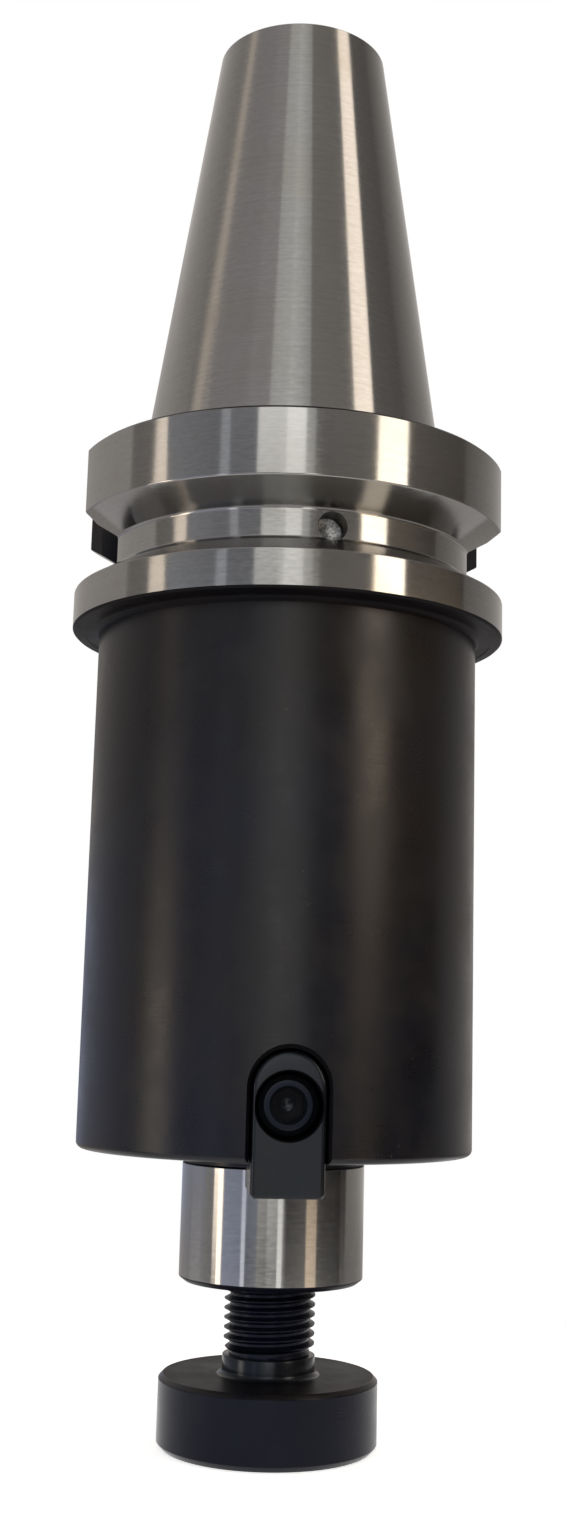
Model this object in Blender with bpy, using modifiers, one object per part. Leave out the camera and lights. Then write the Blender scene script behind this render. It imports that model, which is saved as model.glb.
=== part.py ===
"""A shell mill holder: a 7:24 spindle taper with its gripper flange, a plain body, a pilot for the
cutter, two bolted drive keys and the lock screw that clamps the cutter.

The origin is the centre of the lock screw's bottom face, on which the holder stands. +Z runs up the
axis to the small end of the taper. The drive keys are at -Y (front) and +Y (rear), and the slots for
the spindle's own keys at -X and +X.
"""

from math import cos, pi, radians, sin, sqrt, tan

import bmesh
import bpy
from mathutils import Matrix

MM = 0.001

# Gap kept between two pieces that touch on the real holder
CLEARANCE = 0.3 * MM

# Spindle taper, 7:24 on diameter
TAPER_RATE = 7 / 24
GAUGE_DIAMETER = 44.45 * MM
TAPER_LENGTH = 65.4 * MM
TAPER_END_CHAMFER = 0.2 * MM
TAPER_RELIEF_DEPTH = 0.4 * MM

# Pull stud socket in the small end of the taper
STUD_BORE_DIAMETER = 17.0 * MM
STUD_BORE_DEPTH = 9.0 * MM
STUD_THREAD_DIAMETER = 14.0 * MM
STUD_THREAD_DEPTH = 43.0 * MM
STUD_MOUTH_CHAMFER = 0.8 * MM
COOLANT_HOLE_DIAMETER = 9.5 * MM

# Gripper flange with its V-groove
FLANGE_DIAMETER = 63.0 * MM
FLANGE_TOP_DROP = 2.0 * MM
FLANGE_BOTTOM_DROP = 27.0 * MM
FLANGE_TOP_CHAMFER = 0.5 * MM
FLANGE_BOTTOM_CHAMFER = 0.3 * MM
GROOVE_DROP = 16.6 * MM
GROOVE_MOUTH_WIDTH = 10.0 * MM
GROOVE_FLOOR_DIAMETER = 53.0 * MM
GROOVE_FLANK_ANGLE = radians(30)
GROOVE_CORNER_RADIUS = 0.6 * MM
FLANGE_FILLET_RADIUS = 1.6 * MM

# Slots for the spindle's drive keys
SPINDLE_SLOT_WIDTH = 16.1 * MM
SPINDLE_SLOT_FLOOR = 22.6 * MM
SPINDLE_SLOT_CHAMFER = 1.7 * MM

# Body between the flange and the cutter's seat, measured from the gauge line
GAUGE_LENGTH = 100.0 * MM
BODY_DIAMETER = 55.2 * MM
BODY_EDGE_RADIUS = 0.9 * MM

# Pilot with its relief at the seat
PILOT_DIAMETER = 25.4 * MM
PILOT_LENGTH = 17.5 * MM
PILOT_CHAMFER = 1.0 * MM
PILOT_RELIEF_LENGTH = 2.05 * MM
PILOT_RELIEF_DEPTH = 0.25 * MM

# Drive keys, flat outside, with a half-round top. Their outer face lies below the round body, and
# their inner face stands off the pilot.
KEY_WIDTH = 9.4 * MM
KEY_TOP_ABOVE_SEAT = 14.0 * MM
KEY_BELOW_SEAT = 4.2 * MM
KEY_BELOW_BODY = 0.65 * MM
KEY_PILOT_GAP = 1.8 * MM
KEY_CHAMFER = 0.6 * MM
KEY_CORNER_RADIUS = 0.7 * MM
KEY_SEAT_CHAMFER = 0.55 * MM

# Socket head screws of the keys, whose tips end short of the lock screw's hole
KEY_SCREW_ABOVE_SEAT = 7.15 * MM
KEY_SCREW_DIAMETER = 4.83 * MM
KEY_SCREW_TIP_WALL = 2.37 * MM
KEY_SCREW_HEAD_DIAMETER = 7.9 * MM
KEY_SCREW_HEAD_HEIGHT = 4.83 * MM
KEY_SCREW_HEAD_CHAMFER = 0.9 * MM
KEY_SCREW_RECESS = 2.0 * MM
KEY_SCREW_HEX = 3.97 * MM
KEY_SCREW_HEX_DEPTH = 2.4 * MM
KEY_SCREW_COUNTERBORE_GAP = 0.35 * MM

# Lock screw
LOCK_HEAD_DIAMETER = 30.0 * MM
LOCK_HEAD_THICKNESS = 9.5 * MM
LOCK_HEAD_TOP_CHAMFER = 0.6 * MM
LOCK_HEAD_BOTTOM_CHAMFER = 0.8 * MM
LOCK_DIAMETER = 12.7 * MM
LOCK_THREAD_ALLOWANCE = 0.2 * MM
LOCK_LENGTH = 31.75 * MM
LOCK_TIP_CHAMFER = 1.0 * MM
LOCK_COLLAR_LENGTH = 2.7 * MM
LOCK_COLLAR_FILLET = 0.7 * MM
LOCK_HEX = 9.525 * MM
LOCK_HEX_DEPTH = 6.0 * MM
LOCK_HEX_CHAMFER = 0.7 * MM
LOCK_HOLE_DEPTH = 35.5 * MM
LOCK_HOLE_CHAMFER = 0.9 * MM

# Free length of the lock screw between its head and the pilot
CLAMP_GAP = 12.2 * MM

# Balance hole drilled into the floor of the V-groove
BALANCE_HOLE_DIAMETER = 4.1 * MM
BALANCE_HOLE_DEPTH = 3.5 * MM
BALANCE_HOLE_DROP = 16.9 * MM
BALANCE_HOLE_ANGLE = radians(8.5)

DRILL_HALF_ANGLE = radians(59)

# Facets round each turned piece
BODY_SEGMENTS = 64
LOCK_SEGMENTS = 48
SCREW_SEGMENTS = 24
ARC_STEPS = 4
KEY_ARC_STEPS = 12
CUTTER_REACH = 10.0 * MM
MERGE_DISTANCE = 0.00001
CRISP_EDGE_ANGLE = radians(25)

# Heights of the main faces above the origin
HEAD_TOP = LOCK_HEAD_THICKNESS
PILOT_END = HEAD_TOP + CLAMP_GAP
SEAT = PILOT_END + PILOT_LENGTH
GAUGE_LINE = SEAT + GAUGE_LENGTH
TAPER_END = GAUGE_LINE + TAPER_LENGTH
FLANGE_TOP = GAUGE_LINE - FLANGE_TOP_DROP
FLANGE_BOTTOM = GAUGE_LINE - FLANGE_BOTTOM_DROP
GROOVE_CENTRE = GAUGE_LINE - GROOVE_DROP
KEY_TOP = SEAT + KEY_TOP_ABOVE_SEAT
KEY_BOTTOM = SEAT - KEY_BELOW_SEAT
KEY_SCREW_HEIGHT = SEAT + KEY_SCREW_ABOVE_SEAT

# Distances of the keys' faces and screws from the axis
LOCK_HOLE_RADIUS = LOCK_DIAMETER / 2 + CLEARANCE
KEY_OUTER_FACE = BODY_DIAMETER / 2 - KEY_BELOW_BODY
KEY_INNER_FACE = PILOT_DIAMETER / 2 + KEY_PILOT_GAP
KEY_SCREW_FACE = KEY_OUTER_FACE - KEY_SCREW_RECESS
KEY_SCREW_BEARING = KEY_SCREW_FACE - KEY_SCREW_HEAD_HEIGHT
KEY_SCREW_LENGTH = KEY_SCREW_BEARING - KEY_SCREW_TIP_WALL - LOCK_HOLE_RADIUS


def clear_scene():
    for item in list(bpy.data.objects):
        bpy.data.objects.remove(item, do_unlink=True)


def new_collection(name):
    collection = bpy.data.collections.new(name)
    bpy.context.scene.collection.children.link(collection)
    return collection


def new_material(name, colour, roughness, metallic):
    material = bpy.data.materials.new(name)
    material.use_nodes = True
    shader = material.node_tree.nodes["Principled BSDF"]
    shader.inputs["Base Color"].default_value = (*colour, 1.0)
    shader.inputs["Roughness"].default_value = roughness
    shader.inputs["Metallic"].default_value = metallic
    return material


def new_object(name, data, collection, material=None):
    item = bpy.data.objects.new(name, data)
    collection.objects.link(item)
    if material:
        item.data.materials.append(material)
    return item


def as_cutter(item):
    item.hide_render = True
    item.display_type = "WIRE"
    return item


def cut(item, *cutters):
    """Take each cutter out of the item, in order."""
    for cutter in cutters:
        boolean = item.modifiers.new("cut_" + cutter.name, "BOOLEAN")
        boolean.operation = "DIFFERENCE"
        boolean.solver = "EXACT"
        boolean.object = cutter


def settle(item):
    """Bake the item's modifiers into its mesh, shade it smooth and keep its edges crisp."""
    graph = bpy.context.evaluated_depsgraph_get()
    mesh = bpy.data.meshes.new_from_object(item.evaluated_get(graph))
    mesh.name = item.name
    item.modifiers.clear()
    item.data = mesh
    mesh.shade_smooth()
    mesh.set_sharp_from_angle(angle=CRISP_EDGE_ANGLE)


def arc(centre, radius, start, end, steps):
    """Points of a circular arc in the plane of an outline, both ends included."""
    points = []
    for i in range(steps + 1):
        angle = start + (end - start) * i / steps
        points.append((centre[0] + radius * cos(angle), centre[1] + radius * sin(angle)))
    return points


def turned(name, outline, segments, collection, material=None, ring=False):
    """A turned piece: an outline of (radius, height) points swept round the Z axis.

    The outline runs down its outer side. A ring closes on itself and keeps a bore, and any other
    outline starts and ends on the axis.
    """
    mesh = bpy.data.meshes.new(name)
    count = len(outline)
    edges = [(i, i + 1) for i in range(count - 1)]
    if ring:
        edges.append((count - 1, 0))
    mesh.from_pydata([(radius, 0.0, height) for radius, height in outline], edges, [])
    item = new_object(name, mesh, collection, material)
    screw = item.modifiers.new("turn", "SCREW")
    screw.axis = "Z"
    screw.angle = 2 * pi
    screw.steps = segments
    screw.render_steps = segments
    screw.use_merge_vertices = True
    screw.merge_threshold = MERGE_DISTANCE
    return item


def drill(name, radius, depth, collection, segments=SCREW_SEGMENTS, pointed=True):
    """A drill along +Z with its tip at the bottom: the full diameter ends at the origin, and the
    point lies below it. Without a point it is a flat end mill."""
    tip = radius / tan(DRILL_HALF_ANGLE) if pointed else 0.0
    outline = [(0.0, depth), (radius, depth), (radius, 0.0), (0.0, -tip)]
    return as_cutter(turned(name, outline, segments, collection))


def hexagon(name, across_flats, height, collection):
    """A hexagonal prism on the Z axis, from the origin up, with two of its flats facing X."""
    mesh = bpy.data.meshes.new(name)
    corner = across_flats / sqrt(3)
    shape = bmesh.new()
    bmesh.ops.create_cone(
        shape,
        cap_ends=True,
        segments=6,
        radius1=corner,
        radius2=corner,
        depth=height,
        matrix=Matrix.Translation((0.0, 0.0, height / 2)),
    )
    shape.to_mesh(mesh)
    shape.free()
    return as_cutter(new_object(name, mesh, collection))


def radial(item, angle, distance, height):
    """Turn a piece from the Z axis to a spoke: its +Z points outwards at the angle from -Y towards
    +X, and its origin lies at the distance from the axis."""
    turn = Matrix.Rotation(angle, 4, "Z") @ Matrix.Rotation(pi / 2, 4, "X")
    item.matrix_world = Matrix.Translation(
        (distance * sin(angle), -distance * cos(angle), height)
    ) @ turn


def key_outline(width, top, bottom, corner):
    """The key seen from outside: upright sides, a half-round top and two small bottom corners."""
    half = width / 2
    left = arc((-half + corner, bottom + corner), corner, -pi / 2, -pi, ARC_STEPS)
    crown = arc((0.0, top - half), half, pi, 0.0, KEY_ARC_STEPS)
    right = arc((half - corner, bottom + corner), corner, 0.0, -pi / 2, ARC_STEPS)
    return left + crown + right


def plate(name, outline, thickness, collection, flare=0.0):
    """A flat outline given a thickness along its own Z, as a mesh. A flare widens it by that much
    at 45 degrees from each face."""
    curve = bpy.data.curves.new(name, "CURVE")
    curve.dimensions = "2D"
    curve.fill_mode = "BOTH"
    curve.extrude = thickness / 2
    curve.bevel_depth = flare
    curve.bevel_resolution = 0
    spline = curve.splines.new("POLY")
    spline.points.add(len(outline) - 1)
    for point, (x, y) in zip(spline.points, outline):
        point.co = (x, y, 0.0, 1.0)
    spline.use_cyclic_u = True
    flat = bpy.data.objects.new(name, curve)
    collection.objects.link(flat)
    mesh = bpy.data.meshes.new_from_object(flat.evaluated_get(bpy.context.evaluated_depsgraph_get()))
    bpy.data.objects.remove(flat)
    shape = bmesh.new()
    shape.from_mesh(mesh)
    bmesh.ops.remove_doubles(shape, verts=shape.verts, dist=MERGE_DISTANCE)
    bmesh.ops.recalc_face_normals(shape, faces=shape.faces)
    shape.to_mesh(mesh)
    shape.free()
    return new_object(name, mesh, collection)


def taper_radius(height):
    """Radius of the taper at a height above the origin."""
    return GAUGE_DIAMETER / 2 - (height - GAUGE_LINE) * TAPER_RATE / 2


def groove_floor():
    """Floor of the V-groove with a small round corner to each flank, from the upper flank down."""
    depth = (FLANGE_DIAMETER - GROOVE_FLOOR_DIAMETER) / 2
    flat = GROOVE_MOUTH_WIDTH / 2 - depth * tan(GROOVE_FLANK_ANGLE)
    radius = GROOVE_CORNER_RADIUS
    turn = pi / 2 - GROOVE_FLANK_ANGLE
    middle = GROOVE_FLOOR_DIAMETER / 2 + radius
    rise = flat - radius * tan(turn / 2)
    upper = arc((middle, GROOVE_CENTRE + rise), radius, pi - turn, pi, ARC_STEPS)
    lower = arc((middle, GROOVE_CENTRE - rise), radius, pi, pi + turn, ARC_STEPS)
    return upper + lower


def holder_outline():
    """Outline of the holder: down the outside from the small end, then up through the bore."""
    flange = FLANGE_DIAMETER / 2
    body = BODY_DIAMETER / 2
    pilot = PILOT_DIAMETER / 2
    mouth = GROOVE_MOUTH_WIDTH / 2
    relief = PILOT_RELIEF_DEPTH
    end_edge = TAPER_END - TAPER_END_CHAMFER
    neck_top = FLANGE_TOP + 2.2 * TAPER_RELIEF_DEPTH
    outside = [
        (taper_radius(TAPER_END) - TAPER_END_CHAMFER, TAPER_END),
        (taper_radius(end_edge), end_edge),
        (taper_radius(GAUGE_LINE), GAUGE_LINE),
        (taper_radius(neck_top + TAPER_RELIEF_DEPTH), neck_top + TAPER_RELIEF_DEPTH),
        (GAUGE_DIAMETER / 2 - TAPER_RELIEF_DEPTH, neck_top),
        (GAUGE_DIAMETER / 2 - TAPER_RELIEF_DEPTH, FLANGE_TOP + TAPER_RELIEF_DEPTH),
        (GAUGE_DIAMETER / 2, FLANGE_TOP),
        (flange - FLANGE_TOP_CHAMFER, FLANGE_TOP),
        (flange, FLANGE_TOP - FLANGE_TOP_CHAMFER),
        (flange, GROOVE_CENTRE + mouth),
    ]
    outside += groove_floor()
    outside += [
        (flange, GROOVE_CENTRE - mouth),
        (flange, FLANGE_BOTTOM + FLANGE_BOTTOM_CHAMFER),
        (flange - FLANGE_BOTTOM_CHAMFER, FLANGE_BOTTOM),
    ]
    fillet = FLANGE_FILLET_RADIUS
    outside += arc((body + fillet, FLANGE_BOTTOM - fillet), fillet, pi / 2, pi, ARC_STEPS)
    edge = BODY_EDGE_RADIUS
    outside += arc((body - edge, SEAT + edge), edge, 0.0, -pi / 2, ARC_STEPS)
    outside += [
        (pilot - relief, SEAT),
        (pilot - relief, SEAT - PILOT_RELIEF_LENGTH),
        (pilot, SEAT - PILOT_RELIEF_LENGTH - relief),
        (pilot, PILOT_END + PILOT_CHAMFER),
        (pilot - PILOT_CHAMFER, PILOT_END),
    ]
    return outside + bore_outline()


def bore_outline():
    """Up through the holder: the lock screw's hole, the coolant hole and the pull stud's socket."""
    lock = LOCK_HOLE_RADIUS
    coolant = COOLANT_HOLE_DIAMETER / 2
    stud = STUD_THREAD_DIAMETER / 2
    bore = STUD_BORE_DIAMETER / 2
    lock_end = PILOT_END + LOCK_HOLE_DEPTH
    stud_end = TAPER_END - STUD_THREAD_DEPTH
    return [
        (lock + LOCK_HOLE_CHAMFER, PILOT_END),
        (lock, PILOT_END + LOCK_HOLE_CHAMFER),
        (lock, lock_end),
        (coolant, lock_end + (lock - coolant) / tan(DRILL_HALF_ANGLE)),
        (coolant, stud_end - (stud - coolant) / tan(DRILL_HALF_ANGLE)),
        (stud, stud_end),
        (stud, TAPER_END - STUD_BORE_DEPTH),
        (bore, TAPER_END - STUD_BORE_DEPTH),
        (bore, TAPER_END - STUD_MOUTH_CHAMFER),
        (bore + STUD_MOUTH_CHAMFER, TAPER_END),
    ]


def spindle_slot(side, cutters):
    """Slot for a spindle key, open at the top of the flange and outwards. It runs through the upper
    ring and the V-groove and stops on the lower ring. Its sides are chamfered where they meet the
    flange's rim."""
    half = SPINDLE_SLOT_WIDTH / 2
    chamfer = SPINDLE_SLOT_CHAMFER
    rim = sqrt((FLANGE_DIAMETER / 2) ** 2 - (half + chamfer) ** 2)
    plan = [
        (SPINDLE_SLOT_FLOOR, -half),
        (rim - chamfer, -half),
        (rim + CUTTER_REACH, -half - chamfer - CUTTER_REACH),
        (rim + CUTTER_REACH, half + chamfer + CUTTER_REACH),
        (rim - chamfer, half),
        (SPINDLE_SLOT_FLOOR, half),
    ]
    bottom = GROOVE_CENTRE - GROOVE_MOUTH_WIDTH / 2
    top = GAUGE_LINE + CUTTER_REACH
    name = "spindle_slot_left" if side < 0 else "spindle_slot_right"
    slot = plate(name, [(side * x, y) for x, y in plan], top - bottom, cutters)
    slot.location.z = (top + bottom) / 2
    return as_cutter(slot)


def key_seat(where, angle, cutters):
    """The seat of a key in the body: the key's own outline with a clearance, open at the cutter's
    seat, and a chamfer round its mouth.

    The mouth lies on a round body, and its sides lie lower than its crown by the sagitta of the
    seat's width. The flare that cuts the chamfer starts that much deeper and has its crown that
    much lower, so that the chamfer is as wide at the crown as at the sides."""
    body = BODY_DIAMETER / 2
    width = KEY_WIDTH + 2 * CLEARANCE
    top = KEY_TOP + CLEARANCE
    end = SEAT - CUTTER_REACH
    floor = KEY_INNER_FACE - CLEARANCE
    outer = body + CUTTER_REACH
    outline = key_outline(width, top, end, KEY_CORNER_RADIUS)
    seat = as_cutter(plate("key_seat_" + where, outline, outer - floor, cutters))
    radial(seat, angle, (outer + floor) / 2, 0.0)
    sagitta = body - sqrt(body**2 - (width / 2) ** 2)
    depth = sagitta + KEY_SEAT_CHAMFER
    outline = key_outline(width, top - sagitta, end, KEY_CORNER_RADIUS)
    flare = as_cutter(plate("key_flare_" + where, outline, 2 * CUTTER_REACH, cutters, flare=2 * depth))
    radial(flare, angle, body + depth + CUTTER_REACH, 0.0)
    return seat, flare


def key_screw_hole(where, angle, cutters):
    """Hole for the shank of a key screw, through the key and into the body."""
    end = KEY_SCREW_BEARING - KEY_SCREW_LENGTH - CLEARANCE
    depth = KEY_SCREW_BEARING - end
    hole = drill("screw_hole_" + where, KEY_SCREW_DIAMETER / 2 + CLEARANCE, depth, cutters)
    radial(hole, angle, end, KEY_SCREW_HEIGHT)
    return hole


def balance_hole(cutters):
    """Balance hole, drilled radially into the floor of the V-groove beside the front key."""
    floor = GROOVE_FLOOR_DIAMETER / 2
    hole = drill("balance_hole", BALANCE_HOLE_DIAMETER / 2, 2 * CUTTER_REACH, cutters)
    radial(hole, BALANCE_HOLE_ANGLE, floor - BALANCE_HOLE_DEPTH, GAUGE_LINE - BALANCE_HOLE_DROP)
    return hole


def make_holder(parts, cutters, material):
    body = turned("holder_body", holder_outline(), BODY_SEGMENTS, parts, material, ring=True)
    cut(body, spindle_slot(-1, cutters), spindle_slot(1, cutters), balance_hole(cutters))
    for where, angle in (("front", 0.0), ("rear", pi)):
        cut(body, *key_seat(where, angle, cutters), key_screw_hole(where, angle, cutters))
    settle(body)


def make_key(where, angle, parts, cutters, material):
    outline = key_outline(KEY_WIDTH, KEY_TOP, KEY_BOTTOM, KEY_CORNER_RADIUS)
    key = plate("drive_key_" + where, outline, KEY_OUTER_FACE - KEY_INNER_FACE, parts)
    key.data.materials.append(material)
    radial(key, angle, (KEY_OUTER_FACE + KEY_INNER_FACE) / 2, 0.0)
    bevel = key.modifiers.new("chamfer", "BEVEL")
    bevel.width = KEY_CHAMFER
    bevel.segments = 1
    bevel.limit_method = "ANGLE"
    bevel.angle_limit = radians(60)
    bevel.use_clamp_overlap = False
    head = drill(
        "counterbore_" + where,
        KEY_SCREW_HEAD_DIAMETER / 2 + KEY_SCREW_COUNTERBORE_GAP,
        CUTTER_REACH,
        cutters,
        segments=2 * SCREW_SEGMENTS,
        pointed=False,
    )
    radial(head, angle, KEY_SCREW_BEARING - CLEARANCE, KEY_SCREW_HEIGHT)
    shank = drill(
        "shank_hole_" + where, KEY_SCREW_DIAMETER / 2 + CLEARANCE, 2 * CUTTER_REACH, cutters, pointed=False
    )
    radial(shank, angle, KEY_INNER_FACE - CUTTER_REACH, KEY_SCREW_HEIGHT)
    cut(key, head, shank)
    settle(key)


def make_key_screw(where, angle, parts, cutters, material):
    """Socket head screw with its bearing face at its origin and its head outwards."""
    head = KEY_SCREW_HEAD_DIAMETER / 2
    shank = KEY_SCREW_DIAMETER / 2
    tip = shank / 4
    outline = [
        (0.0, KEY_SCREW_HEAD_HEIGHT),
        (head - KEY_SCREW_HEAD_CHAMFER, KEY_SCREW_HEAD_HEIGHT),
        (head, KEY_SCREW_HEAD_HEIGHT - KEY_SCREW_HEAD_CHAMFER / 2),
        (head, 0.0),
        (shank, 0.0),
        (shank, tip - KEY_SCREW_LENGTH),
        (shank - tip, -KEY_SCREW_LENGTH),
        (0.0, -KEY_SCREW_LENGTH),
    ]
    screw = turned("key_screw_" + where, outline, SCREW_SEGMENTS, parts, material)
    radial(screw, angle, KEY_SCREW_BEARING, KEY_SCREW_HEIGHT)
    socket = hexagon("key_hex_" + where, KEY_SCREW_HEX, CUTTER_REACH, cutters)
    radial(socket, angle, KEY_SCREW_FACE - KEY_SCREW_HEX_DEPTH, KEY_SCREW_HEIGHT)
    cut(screw, socket)
    settle(screw)


def make_lock_screw(parts, cutters, material):
    head = LOCK_HEAD_DIAMETER / 2
    shank = (LOCK_DIAMETER - LOCK_THREAD_ALLOWANCE) / 2
    collar = LOCK_DIAMETER / 2
    fillet = LOCK_COLLAR_FILLET
    tip = HEAD_TOP + LOCK_LENGTH
    collar_top = HEAD_TOP + LOCK_COLLAR_LENGTH
    outline = [
        (0.0, tip),
        (shank - LOCK_TIP_CHAMFER, tip),
        (shank, tip - LOCK_TIP_CHAMFER),
        (shank, collar_top),
        (collar, collar_top),
    ]
    outline += arc((collar + fillet, HEAD_TOP + fillet), fillet, pi, 1.5 * pi, ARC_STEPS)
    outline += [
        (head - LOCK_HEAD_TOP_CHAMFER, HEAD_TOP),
        (head, HEAD_TOP - LOCK_HEAD_TOP_CHAMFER),
        (head, LOCK_HEAD_BOTTOM_CHAMFER),
        (head - LOCK_HEAD_BOTTOM_CHAMFER, 0.0),
        (0.0, 0.0),
    ]
    screw = turned("lock_screw", outline, LOCK_SEGMENTS, parts, material)
    socket = hexagon("lock_hex", LOCK_HEX, LOCK_HEX_DEPTH + CUTTER_REACH, cutters)
    socket.location.z = -CUTTER_REACH
    mouth = LOCK_HEX / sqrt(3)
    countersink = turned(
        "lock_hex_mouth",
        [(0.0, mouth), (mouth + LOCK_HEX_CHAMFER, -LOCK_HEX_CHAMFER), (0.0, -LOCK_HEX_CHAMFER)],
        LOCK_SEGMENTS,
        cutters,
    )
    cut(screw, socket, as_cutter(countersink))
    settle(screw)


def main():
    clear_scene()
    parts = new_collection("shell_mill_holder")
    cutters = new_collection("cutters")
    ground = new_material("ground_steel", (0.56, 0.55, 0.53), 0.3, 1.0)
    black = new_material("black_oxide_steel", (0.022, 0.022, 0.026), 0.34, 0.6)
    make_holder(parts, cutters, ground)
    for where, angle in (("front", 0.0), ("rear", pi)):
        make_key(where, angle, parts, cutters, black)
        make_key_screw(where, angle, parts, cutters, black)
    make_lock_screw(parts, cutters, black)


main()
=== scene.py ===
"""Finished surfaces of a shell mill holder: the turned and ground holder, its two drive keys with
their screws and the threaded lock screw, in a light studio.

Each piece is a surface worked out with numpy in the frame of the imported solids, in metres with +Z up
the axis. The drive keys are at -Y (front) and +Y (rear).
"""

from math import atan2, cos, pi, radians, sin, sqrt, tan

import bmesh
import bpy
import numpy as np
from bpy.props import FloatProperty, FloatVectorProperty, PointerProperty
from bpy.types import Operator, Panel, PropertyGroup
from mathutils import Matrix, Vector


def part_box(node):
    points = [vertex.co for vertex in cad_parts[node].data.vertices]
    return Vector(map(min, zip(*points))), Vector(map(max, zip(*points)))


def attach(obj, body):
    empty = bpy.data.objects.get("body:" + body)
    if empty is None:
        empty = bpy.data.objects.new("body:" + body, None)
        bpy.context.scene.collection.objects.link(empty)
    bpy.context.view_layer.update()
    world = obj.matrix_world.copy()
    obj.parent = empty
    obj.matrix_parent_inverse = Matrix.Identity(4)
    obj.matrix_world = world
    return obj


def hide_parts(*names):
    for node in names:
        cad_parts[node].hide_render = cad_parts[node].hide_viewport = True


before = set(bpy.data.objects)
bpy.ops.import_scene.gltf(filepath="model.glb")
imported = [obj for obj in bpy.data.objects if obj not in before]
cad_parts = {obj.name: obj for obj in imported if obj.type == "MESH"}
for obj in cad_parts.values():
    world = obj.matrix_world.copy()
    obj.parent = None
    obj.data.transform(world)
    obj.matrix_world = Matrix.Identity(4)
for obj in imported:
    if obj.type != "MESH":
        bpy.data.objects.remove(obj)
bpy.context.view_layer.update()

bl_info = {
    "name": "Shell Mill Holder",
    "version": (1, 0, 0),
    "blender": (4, 5, 0),
    "location": "View3D > Sidebar > Mill Holder",
    "description": "Builds the finished pieces of a shell mill holder and its studio",
    "category": "Object",
}

MM = 0.001
TURN = 2 * pi

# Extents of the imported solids, from which the finished pieces take their places
HOLDER_LOW, HOLDER_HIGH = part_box("holder_body")
KEY_LOW, KEY_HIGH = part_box("drive_key_front")
KEY_SCREW_LOW, KEY_SCREW_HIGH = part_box("key_screw_front")
LOCK_LOW, LOCK_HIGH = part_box("lock_screw")
KEY_SCREW_HEIGHT = (KEY_SCREW_LOW.z + KEY_SCREW_HIGH.z) / 2

# The two drive keys and the turns that bring each one to its side
SIDES = (("front", 0.0), ("rear", pi))

# Names of the finishes and their places among the materials of each piece
KINDS = ("ground", "oxide", "turned", "drilled", "screw", "seat", "key")
FINISH_NAMES = [kind + "_finish" for kind in KINDS]
GROUND, BLACK, TURNED, DRILLED, SCREW, SHADED_SEAT, KEY = range(len(FINISH_NAMES))

# Facets round each piece and along each rounding, and steps along each side of a light panel
HOLDER_SEGMENTS = 288
LOCK_SEGMENTS = 192
KEY_SCREW_SEGMENTS = 96
EDGE_STEPS = 3
ROUND_STEPS = 10
PANEL_STEPS = 8

# Angle from which an edge stays crisp, distance at which points are welded, and how far a cutter
# reaches past the metal
CRISP_EDGE = radians(35)
WELD = 0.0005 * MM
REACH = 10 * MM

# The steep taper's radius to its length, the point of a drill, the depth of the pull stud's thread,
# the room round a key in its seat and round a screw in its hole, a key's lower corners and the
# smallest rounding of an edge
TAPER_SLOPE = 7 / 48
DRILL_HALF_ANGLE = radians(59)
STUD_THREAD_DEPTH = 1.0 * MM
CLEARANCE = 0.3 * MM
KEY_CORNER = 0.7 * MM
DEBURR = 0.1 * MM


def length(name, description, default):
    """A size that a user can change, in metres."""
    return FloatProperty(
        name=name,
        description=description,
        default=default,
        min=0.0,
        precision=5,
        unit="LENGTH",
        subtype="DISTANCE",
    )


def share(name, description, default, high=1.0):
    """A number without a unit that a user can change."""
    return FloatProperty(
        name=name, description=description, default=default, min=0.0, max=high, subtype="FACTOR"
    )


def tint(name, description, default):
    """A linear colour that a user can change."""
    return FloatVectorProperty(
        name=name, description=description, default=default, min=0.0, max=1.0, subtype="COLOR"
    )


class HolderSizes(PropertyGroup):
    """Sizes of the turned holder."""

    gauge_diameter: length("Gauge diameter", "Large end of the spindle taper", 44.45 * MM)
    taper_length: length("Taper length", "From the gauge line to the small end", 65.4 * MM)
    taper_relief: length("Taper relief", "Depth of the neck between the taper and the flange", 0.4 * MM)
    stud_bore: length("Stud bore", "Diameter of the plain bore for the pull stud", 17.0 * MM)
    stud_bore_depth: length("Stud bore depth", "Depth of that plain bore", 9.0 * MM)
    stud_thread: length("Stud thread", "Major diameter of the pull stud's thread", 16.0 * MM)
    stud_pitch: length("Stud pitch", "Pitch of the pull stud's thread", 2.0 * MM)
    stud_depth: length("Stud depth", "Depth of the pull stud's thread", 43.0 * MM)
    coolant_hole: length("Coolant hole", "Diameter of the hole along the axis", 9.5 * MM)
    flange_drop: length("Flange drop", "From the gauge line down to the flange", 2.0 * MM)
    flange_bottom: length("Flange bottom", "From the gauge line down to the flange's underside", 27.0 * MM)
    groove_drop: length("Groove drop", "From the gauge line down to the middle of the V-groove", 16.6 * MM)
    groove_mouth: length("Groove mouth", "Width of the V-groove at the rim", 10.0 * MM)
    groove_floor: length("Groove floor", "Diameter of the V-groove's floor", 53.0 * MM)
    gauge_length: length("Gauge length", "From the gauge line down to the cutter's seat", 100.0 * MM)
    body_diameter: length("Body diameter", "Diameter of the black body", 55.2 * MM)
    pilot_diameter: length("Pilot diameter", "Diameter of the cutter's pilot", 25.4 * MM)
    slot_width: length("Slot width", "Width of the slots for the spindle's keys", 16.1 * MM)
    slot_floor: length("Slot floor", "From the axis to the floor of those slots", 22.6 * MM)
    balance_hole: length("Balance hole", "Diameter of the hole drilled for balance", 4.1 * MM)


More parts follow.
